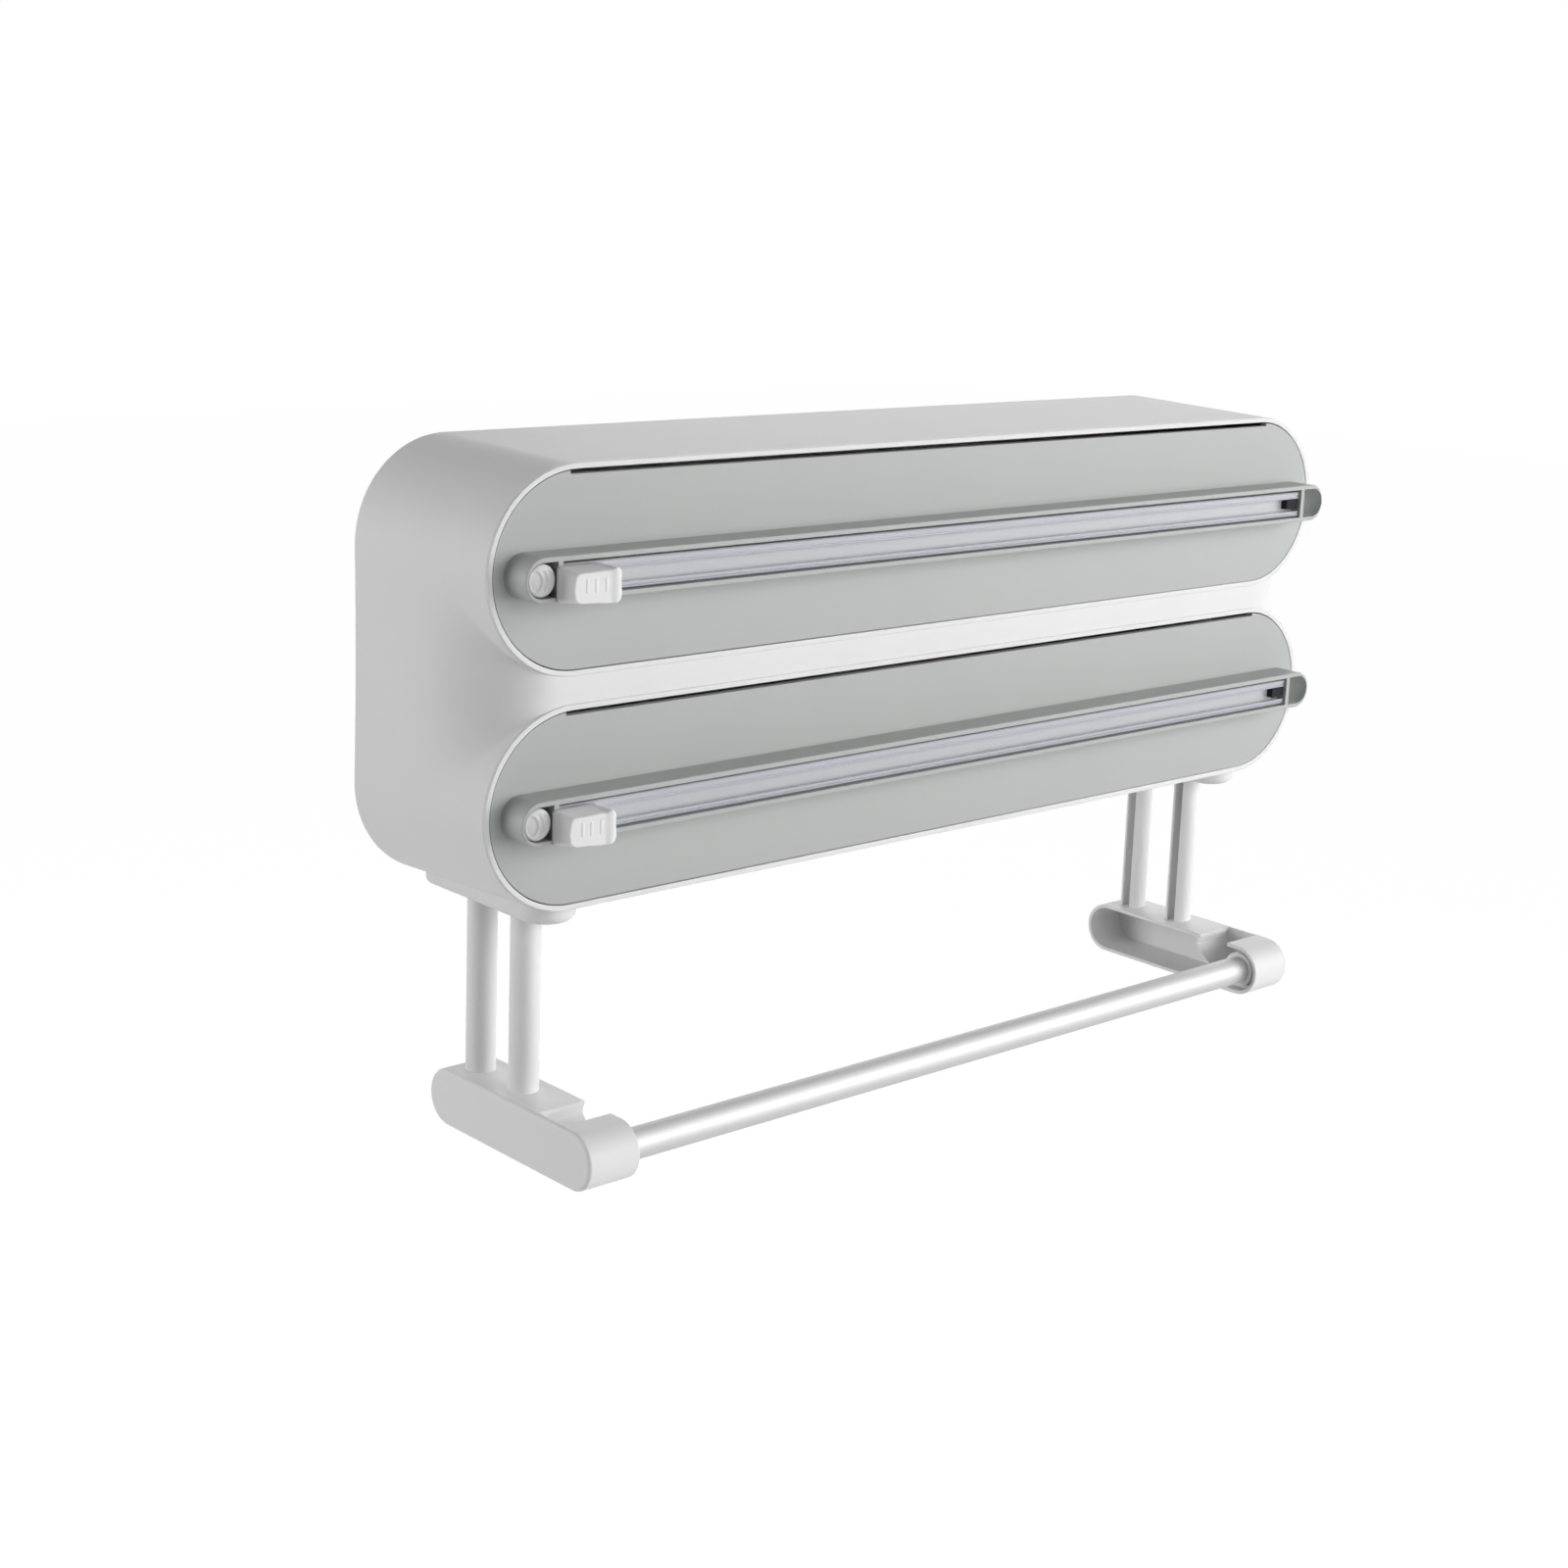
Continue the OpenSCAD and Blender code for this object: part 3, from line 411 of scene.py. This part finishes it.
def body_section(turn_deg, depth):
    """Section of the housing at a depth: two round ends and the waist circle that touches both."""
    start = SKIN_R - BAND_END
    gap = start - (start - SKIN_R * (1 - VALLEY_END)) * math.sin(math.radians(turn_deg))
    reach = (PILL_Z ** 2 - gap ** 2) / (2 * gap)
    neck_deg = math.degrees(math.atan2(PILL_Z, reach))
    waist_r = math.hypot(reach, PILL_Z) - SKIN_R
    waists = 12
    waist_end = neck_deg / (2 * waists + 1)
    quarter = arc(PILL_HALF_LEN, PILL_Z, SKIN_R, 90, 0, 28)
    quarter += arc(PILL_HALF_LEN, PILL_Z, SKIN_R, 0, -neck_deg, 12)[1:]
    quarter += arc(PILL_HALF_LEN + reach, 0, waist_r, 180 - neck_deg, 180 - waist_end, waists)[1:]
    side = quarter + [(x, -z) for x, z in reversed(quarter)]
    ring = side + [(-x, z) for x, z in reversed(side)]
    share = (depth - RIM_PROUD) / (BODY_DEPTH - RIM_PROUD)
    wide = 1 + share * (BACK_HALF_W / (PILL_HALF_LEN + SKIN_R) - 1)
    high = 1 + share * (BACK_HALF_H / (PILL_Z + SKIN_R) - 1)
    return [(x * wide, depth - BODY_DEPTH, z * high) for x, z in ring]


def body_sections():
    """Sections down the valley between the bays, and on to the back."""
    steps = 24
    sections = []
    for i in range(steps + 1):
        turn = 90 * i / steps
        depth = RIM_PROUD + VALLEY_DEPTH * (1 - math.cos(math.radians(turn)))
        sections.append(body_section(turn, depth))
    behind = RIM_PROUD + VALLEY_DEPTH
    for share in (0.34, 0.67, 0.985, 1):
        sections.append(body_section(90, behind + share * (BODY_DEPTH - behind)))
    return sections


def back_recess_loop():
    """Outline of the recess for the back plate."""
    r = SKIN_R - BACK_LIP_W
    half_w = BACK_HALF_W - BACK_LIP_W - r
    half_h = BACK_HALF_H - BACK_LIP_W - r
    return (arc(half_w, half_h, r, 0, 90, 16) + arc(-half_w, half_h, r, 90, 180, 16)
            + arc(-half_w, -half_h, r, 180, 270, 16) + arc(half_w, -half_h, r, 270, 360, 16))


def housing_piece():
    """One closed mesh: the skin, the rims with rounded edges, the bays and the back's recess."""
    bm = bmesh.new()

    def loop(points):
        return [bm.verts.new(Vector(p) * MM) for p in points]

    def skin(loops):
        for a, b in zip(loops, loops[1:]):
            for i in range(len(a)):
                j = (i + 1) % len(a)
                bm.faces.new((a[i], a[j], b[j], b[i]))

    def fill(*loops):
        edges = []
        for ring in loops:
            for pair in zip(ring, ring[1:] + ring[:1]):
                edges.append(bm.edges.get(pair) or bm.edges.new(pair))
        bmesh.ops.triangle_fill(bm, use_beauty=True, use_dissolve=False, edges=edges)

    body = [loop(section) for section in body_sections()]
    skin(body)
    fronts, seats = [], []
    for side in SIDES.values():
        rim = [loop([(x, depth - BODY_DEPTH, z + side * PILL_Z) for x, z in rim_loop(reach)])
               for reach, depth in rim_profile()]
        skin(rim)
        fronts.append(rim[0])
        seats.append(rim[-1])
    fill(body[0], *fronts)
    recess = [loop([(x, y, z) for x, z in back_recess_loop()]) for y in (0, -PLATE_T)]
    fill(body[-1], recess[0])
    skin(recess)
    fill(recess[1], *seats)
    mesh = bpy.data.meshes.new("white_housing")
    bm.to_mesh(mesh)
    bm.free()
    smooth(mesh, 30)
    add_piece(mesh, "housing_shell")


def cut_out(mesh, cutter):
    """The mesh without what lies inside the cutter, under the same name."""
    name = mesh.name
    solid = add_object(name + "_solid", mesh)
    tool = add_object(name + "_tool", cutter)
    cut = solid.modifiers.new("cut", "BOOLEAN")
    cut.operation = "DIFFERENCE"
    cut.solver = "EXACT"
    cut.object = tool
    bpy.context.view_layer.update()
    evaluated = solid.evaluated_get(bpy.context.evaluated_depsgraph_get())
    done = bpy.data.meshes.new_from_object(evaluated)
    for obj in (solid, tool):
        bpy.data.objects.remove(obj)
    for used in (mesh, cutter):
        bpy.data.meshes.remove(used)
    done.name = name
    return done


def pad_piece(name, side, slotted):
    """Pad that the rods pass through, with soft lower edges, and a slot for their guide or none."""
    def plan(outline, z):
        return [(side * x, depth - BODY_DEPTH, z) for x, depth in outline]

    def pad_outline(inset):
        half_w = PAD_HALF_W - inset
        back = SEAT_DEPTH - PAD_BACK_SLOPE * inset
        return (arc(ROD_X, PAD_SETBACK + PAD_HALF_W, half_w, 0, -180, 32)
                + [(ROD_X - half_w, back), (ROD_X + half_w, back)])

    rings = [plan(pad_outline(0), PAD_TOP_Z)]
    for a in quarter_turn(8):
        rings.append(plan(pad_outline(PAD_EDGE_R * (1 - math.cos(a))),
                          PAD_EDGE_R * (1 - math.sin(a)) - PAD_DROP))
    mesh = from_rings(name, rings, 40)
    if slotted:
        slot = (arc(ROD_X, ROD_DEPTHS[1], GUIDE_R, 0, 180, 24)
                + arc(ROD_X, ROD_DEPTHS[0], GUIDE_R, 180, 360, 24))
        cutter = from_rings(name + "_slot", [plan(slot, z) for z in GUIDE_CUT_Z], 40)
        mesh = cut_out(mesh, cutter)
        smooth(mesh, 40)
    add_piece(mesh, "housing_shell")


housing_piece()
pad_piece("left_pad", -1, slotted=True)
# The right pad has no slot, and hides its rods' guide
pad_piece("right_pad", 1, slotted=False)


# ---------------------------------------------------------------- drawers
def front_piece(side_name, side):
    """Drawer front, with the ridge's outline, its pocket edges and the panel's edge rounded."""
    def is_at(p, height):
        return abs(p.y + BODY_DEPTH + height) < 0.02

    def off_axis(p, half_len):
        return math.hypot(max(abs(p.x) - half_len, 0), p.z - side * PILL_Z)

    def ridge_outline(p):
        return is_at(p, RIDGE_H) and abs(off_axis(p, RIDGE_HALF_LEN) - RIDGE_R) < 0.06

    def ridge_pockets(p):
        return is_at(p, RIDGE_H) and off_axis(p, RIDGE_HALF_LEN) < RIDGE_R - 0.1

    def panel_edge(p):
        return is_at(p, -FRONT_SETBACK) and off_axis(p, PILL_HALF_LEN) > PANEL_LEAST_R

    rounded(f"{side_name}_front", f"{side_name}_drawer_front",
            [(ridge_outline, 0.45, 4), (ridge_pockets, 0.18, 2), (panel_edge, 0.12, 2)])


def end_pocket_piece(side_name, side):
    """Tapering wall of the pocket at the drawer front's right end."""
    flat_x, round_x, r = 180.13, 185.75, 5.37
    low, floor, high = 0.75, 2.5, 10.6
    flat_wall, flat_wall_from = 0.15, 0.05
    most_inward, narrowing = 0.62, 0.7
    outline = arc(round_x, 0, r, -90, 90, 30) + [(flat_x, r), (flat_x, -r)]
    rows = [(0, low), (0, high)]
    steps = 8
    for i in range(1, steps + 1):
        s = i / steps
        inward = most_inward * s * (0.4 + 0.6 * s)
        rows.append((inward, high - (high - floor) * (s + math.sin(s * math.pi / 2)) / 2))
    rings = []
    for inward, h in rows:
        least_x = flat_x + flat_wall * min(1, inward / flat_wall_from)
        rings.append([(max(flat_x + (x - flat_x) * (1 - inward), least_x), -BODY_DEPTH - h,
                       side * PILL_Z + z * (1 - narrowing * inward)) for x, z in outline])
    add_piece(from_rings(f"{side_name}_end_pocket", rings, 40), f"{side_name}_front")


def button_piece(side_name, side):
    """Domed push button with a rounded edge and three curved grip ribs, and its stem behind."""
    around, domes = 96, 44
    crown_low = BUTTON_EDGE_H - math.sqrt(BUTTON_CROWN_R ** 2 - BUTTON_R ** 2)
    rib_centre, rib_radii, rib_half_w, rib_h = -4.5, (4.25, 6.2, 8.25), 0.52, 0.45
    # The ribs stand in a sunk field
    field_half_h, field_inset, field_sunk = 3.1, 0.75, 0.28
    skirt_low, stem_low, head_low = 6.4, -3, -5.6
    stem_r, head_r, tip_r = 2.2, 3.2, 1.6

    def soft_step(inside, width):
        return 1 / (1 + math.exp(-inside / width))

    def height(x, z):
        r = math.hypot(x, z)
        base = crown_low + math.sqrt(BUTTON_CROWN_R ** 2 - r * r)
        if r > BUTTON_R - BUTTON_EDGE_R:
            t = min(1, (r - BUTTON_R + BUTTON_EDGE_R) / BUTTON_EDGE_R)
            base -= BUTTON_EDGE_R * (1 - math.sqrt(max(0, 1 - t * t)))
        field = (soft_step(field_half_h - abs(z), 0.16)
                 * soft_step(BUTTON_R - field_inset - r, 0.12))
        reach = math.hypot(x - rib_centre, z)
        ribs = sum(math.exp(-((reach - k) / rib_half_w) ** 2) for k in rib_radii)
        return base + field * (rib_h * min(ribs, 1) - field_sunk)

    turns = [2 * math.pi * i / around for i in range(around)]
    points = [(0, 0, height(0, 0))]
    for k in range(1, domes + 1):
        r = BUTTON_R * math.sin(math.pi / 2 * k / domes) ** 0.9
        for a in turns:
            x, z = r * math.cos(a), r * math.sin(a)
            points.append((x, z, height(x, z)))
    below = [(BUTTON_R, skirt_low), (stem_r, skirt_low), (stem_r, stem_low), (head_r, stem_low),
             (head_r, head_low), (tip_r, head_low)]
    for tip_deg in (25, 50, 70, 85):
        a = math.radians(tip_deg)
        below.append((tip_r * math.cos(a), head_low - tip_r * math.sin(a)))
    for r, h in below:
        points += [(r * math.cos(a), r * math.sin(a), h) for a in turns]
    placed = [(BUTTON_X + x, -BODY_DEPTH - h, side * PILL_Z + z) for x, z, h in points]

    faces = [(0, 1 + (i + 1) % around, 1 + i) for i in range(around)]
    faces += bands(around, domes + len(below), first=1)
    faces.append(tuple(range(len(points) - around, len(points))))
    add_piece(from_points(f"{side_name}_push_button", placed, faces, 50), f"{side_name}_button")


def cap_piece(side_name, side):
    """Thumb cap of the cutter: a foot, sloping left and upper sides, and a ribbed face.

    The face is round at its left, slants forward towards its right, and is raised at that end.
    """
    top = CAP_LOW + CAP_T
    ramp_x, ramp_len, ramp_h, slant = 4.6, 2.4, 0.75, 0.14
    ramp_up, ramp_down = 1.9, 0.2
    soft, soft_deg, soft_steps, wall_steps = 0.9, 75, 7, 4
    rib_xs, rib_around = (-3, 0, 3.4), 24
    # Half width, half length and height over the face
    rib_rows = ((0.55, 2.4, -0.3), (0.55, 2.4, 0), (0.38, 2.2, 0.08), (0.18, 2.0, 0.11))

    def ramp(x):
        t = min(max((x - ramp_x) / ramp_len, 0), 1)
        return t * t * (3 - 2 * t)

    def rise(x):
        return ramp_h * ramp(x) - slant * (ramp_x - min(x, ramp_x))

    def loop(left, right, up, down, left_r, right_r):
        """Rounded outline, given by how far each side lies inside the solid's."""
        x0, x1 = left - CAP_LEN / 2, CAP_LEN / 2 - right
        z0, z1 = down - CAP_W / 2, CAP_W / 2 - up
        corners = [arc(x1 - right_r, z1 - right_r, right_r, 0, 90, 12),
                   arc(x0 + left_r, z1 - left_r, left_r, 90, 180, 12),
                   arc(x0 + left_r, z0 + left_r, left_r, 180, 270, 12),
                   arc(x1 - right_r, z0 + right_r, right_r, 270, 360, 12)]
        points = []
        for corner, following, steps in zip(corners, corners[1:] + corners[:1], (24, 8, 24, 8)):
            (x, z), (to_x, to_z) = corner[-1], following[0]
            points += corner
            points += [(x + (to_x - x) * i / steps, z + (to_z - z) * i / steps)
                       for i in range(1, steps)]
        return points

    foot = loop(0, 0, 0, -0.6, 1.2, 2.6)
    face = [(x, z + ramp(x) * (ramp_up if z > 0 else -ramp_down))
            for x, z in loop(1.9, 0.9, 1.6, 0, 3.0, 2.2)]
    rings = [[(s * x, s * z, top + rise(s * x)) for x, z in face]
             for s in (0.03, 0.15, 0.3, 0.45, 0.6, 0.72, 0.82, 0.9, 0.96, 1)]
    for i in range(1, soft_steps + 1):
        a = math.radians(soft_deg * i / soft_steps)
        ring = []
        for (x, z), (foot_x, foot_z) in zip(face, foot):
            reach = math.hypot(foot_x - x, foot_z - z)
            r = min(soft, 0.98 * reach)
            out = r * math.sin(a) / reach
            ring.append((x + (foot_x - x) * out, z + (foot_z - z) * out,
                         top + rise(x) - r * (1 - math.cos(a))))
        rings.append(ring)
    edge = rings[-1]
    for i in range(1, wall_steps + 1):
        t = i / wall_steps
        rings.append([(x + (foot_x - x) * t, z + (foot_z - z) * t, h + (CAP_LOW - h) * t)
                      for (x, z, h), (foot_x, foot_z) in zip(edge, foot)])
    faces = closed_bands(len(foot), len(rings))
    points = [p for ring in rings for p in ring]
    for rib_x in rib_xs:
        faces += closed_bands(rib_around, len(rib_rows), first=len(points))
        for half_w, half_len, out in rib_rows:
            for i in range(rib_around):
                a = 2 * math.pi * i / rib_around
                x = rib_x + half_w * math.cos(a)
                end = half_len - half_w if math.sin(a) >= 0 else half_w - half_len
                points.append((x, end + half_w * math.sin(a), top + rise(x) + out))
    placed = [(CAP_X + x, -BODY_DEPTH - h, side * PILL_Z - CAP_DROP + z) for x, z, h in points]
    add_piece(from_points(f"{side_name}_thumb_cap", placed, faces, 60), f"{side_name}_cutter_cap")


def rail_piece(side_name, side):
    """Extruded rail: a groove with undercut lips, and a score along each lip."""
    groove_up, groove_down, soft = 2.0, -2.9, 0.12
    up, up_chamfer = RAIL_HALF_W - 0.6, 0.4
    low, low_chamfer = 0.3 - RAIL_HALF_W, 0.3

    def score(z, width, depth, lower_slope, upper_slope=0.1):
        bottom = RAIL_TOP - depth
        return [(z, RAIL_TOP), (z + lower_slope, bottom),
                (z + width - upper_slope, bottom), (z + width, RAIL_TOP)]

    outline = [
        (low, RAIL_LOW), (low, RAIL_TOP - low_chamfer), (low + low_chamfer, RAIL_TOP),
        *score(-4.1, 0.65, 0.3, 0.1),
        (groove_down - soft, RAIL_TOP), (groove_down, RAIL_TOP - soft),
        (groove_down, RAIL_LIP_LOW), (-RAIL_CAVITY_HALF_W, RAIL_LIP_LOW),
        (-RAIL_CAVITY_HALF_W, RAIL_CAVITY_LOW), (RAIL_CAVITY_HALF_W, RAIL_CAVITY_LOW),
        (RAIL_CAVITY_HALF_W, RAIL_LIP_LOW), (groove_up, RAIL_LIP_LOW),
        (groove_up, RAIL_TOP - soft), (groove_up + soft, RAIL_TOP),
        *score(2.5, 1.0, 0.35, 0.15),
        (up - up_chamfer, RAIL_TOP), (up, RAIL_TOP - up_chamfer), (up, RAIL_LOW),
    ]
    ends = [[(x, -BODY_DEPTH - h, side * PILL_Z + z) for z, h in outline]
            for x in (-RAIL_HALF_LEN, RAIL_HALF_LEN)]
    add_piece(from_rings(f"{side_name}_clear_rail", ends, 20), f"{side_name}_cutter_rail")


for side_name, side in SIDES.items():
    front_piece(side_name, side)
    end_pocket_piece(side_name, side)
    button_piece(side_name, side)
    cap_piece(side_name, side)
    rail_piece(side_name, side)
    rounded(f"{side_name}_tray", f"{side_name}_trough", [(anywhere, 0.25, 2)])
    rounded(f"{side_name}_rail_stop", f"{side_name}_dark_stop", [(anywhere, 0.2, 2)])


# ---------------------------------------------------------------- roll holder
def arm_outer_edge(p):
    return abs(abs(p.x) - ARM_OUT) < 0.03


def arm_open_edge(p):
    return abs(abs(p.x) - ARM_IN) < 0.03 and p.z < NOTCH_OVER_BAR - BAR_DROP


for name in ("left", "right"):
    rounded(f"{name}_arm", f"{name}_holder_arm",
            [(arm_outer_edge, 1.3, 5), (arm_open_edge, 0.35, 3)])
    rounded(f"{name}_bar_cap", f"{name}_bar_end", [(anywhere, 0.4, 3)])
    rounded(f"{name}_rod_guide", f"{name}_bushing", [(anywhere, 0.3, 3)])
    rounded(f"{name}_yoke", f"{name}_top_yoke", [(anywhere, 0.3, 2)])
rounded("bar_tube", "roll_tube", [(anywhere, 0.15, 2)])
rounded("back_plate", "wall_plate", [(anywhere, 0.2, 2)])


# ---------------------------------------------------------------- camera, light and floor
# Sizes here are in metres, lamps in watts
SOFT_BOX_SIZE = 1.3
SOFT_BOX_DISTANCE = 2
FLOOR_HALF_W = 8
FLOOR_Z = -0.9
FLOOR_WHITE = 1.09
FLOOR_WHITE_SHARE = 0.9
AMBIENT = 0.05

# The photograph's camera, solved from the outline of the object
CAMERA_RIGHT = (0.74561585, -0.66536948, 0.0366124)
CAMERA_DOWN = (-0.11207552, -0.17937309, -0.97737627)
CAMERA_FORWARD = (0.65688362, 0.72464388, -0.20831505)
CAMERA_PLACE = (-0.633412, -0.684556, 0.164892)
camera = add_object("camera", bpy.data.cameras.new("camera"))
camera.matrix_world = Matrix([
    (right, -down, -forward, place) for right, down, forward, place
    in zip(CAMERA_RIGHT, CAMERA_DOWN, CAMERA_FORWARD, CAMERA_PLACE)] + [(0, 0, 0, 1)])
camera.data.sensor_width = 36
camera.data.sensor_fit = "HORIZONTAL"
camera.data.lens = 58.98
camera.data.shift_x = -0.0042
camera.data.shift_y = -0.0560
camera.data.clip_start = 0.01
SCENE.camera = camera


def lamp(name, azimuth, elevation, power):
    """A square soft box that faces the object; azimuth 0 is in front, and positive to the right."""
    light = bpy.data.lights.new(name, "AREA")
    light.size = SOFT_BOX_SIZE
    light.energy = power
    obj = add_object(name, light)
    a, e = math.radians(azimuth), math.radians(elevation)
    direction = Vector((math.sin(a) * math.cos(e), -math.cos(a) * math.cos(e), math.sin(e)))
    obj.location = direction * SOFT_BOX_DISTANCE
    obj.rotation_euler = (-direction).to_track_quat("-Z", "Y").to_euler()


lamp("key", 48, 10, 24)
lamp("right_fill", 35, 15, 4.8)
lamp("front_fill", 1, 10, 14.4)
lamp("left_rear", -121, 7, 20)
lamp("upper_left", -100, 50, 3)
lamp("right_rear", 130, 20, 7.8)
lamp("top_rear", 180, 50, 1.5)


def seen_directly(tree):
    """One for camera, mirror and glass rays, zero for the light that falls on the object."""
    path = tree.nodes.new("ShaderNodeLightPath")
    seen = path.outputs["Is Camera Ray"]
    for ray in ("Is Glossy Ray", "Is Transmission Ray"):
        either = tree.nodes.new("ShaderNodeMath")
        either.operation = "MAXIMUM"
        tree.links.new(seen, either.inputs[0])
        tree.links.new(path.outputs[ray], either.inputs[1])
        seen = either.outputs[0]
    return seen


corners = [(x * FLOOR_HALF_W, y * FLOOR_HALF_W, FLOOR_Z)
           for x, y in ((-1, -1), (1, -1), (1, 1), (-1, 1))]
floor_mesh = bpy.data.meshes.new("floor")
floor_mesh.from_pydata(corners, [], [(0, 1, 2, 3)])
floor = add_object("floor", floor_mesh)

# The floor and the world are white where they are seen, and dim where they light the object
material, tree, shader = node_material("pale_floor")
shader.inputs["Base Color"].default_value = (0.8, 0.8, 0.8, 1)
shader.inputs["Roughness"].default_value = 0.9
white = tree.nodes.new("ShaderNodeEmission")
white.inputs["Strength"].default_value = FLOOR_WHITE
mix = tree.nodes.new("ShaderNodeMixShader")
share = tree.nodes.new("ShaderNodeMath")
share.operation = "MULTIPLY"
share.inputs[1].default_value = FLOOR_WHITE_SHARE
tree.links.new(seen_directly(tree), share.inputs[0])
tree.links.new(share.outputs[0], mix.inputs["Fac"])
tree.links.new(shader.outputs[0], mix.inputs[1])
tree.links.new(white.outputs[0], mix.inputs[2])
tree.links.new(mix.outputs[0], tree.nodes["Material Output"].inputs["Surface"])
floor_mesh.materials.append(material)

world = bpy.data.worlds.new("studio")
SCENE.world = world
world.use_nodes = True
tree = world.node_tree
background = tree.nodes["Background"]
background.inputs["Color"].default_value = (1, 1, 1, 1)
strength = tree.nodes.new("ShaderNodeMapRange")
strength.inputs["To Min"].default_value = AMBIENT
strength.inputs["To Max"].default_value = 1
tree.links.new(seen_directly(tree), strength.inputs["Value"])
tree.links.new(strength.outputs["Result"], background.inputs["Strength"])

SCENE.view_settings.view_transform = "Standard"
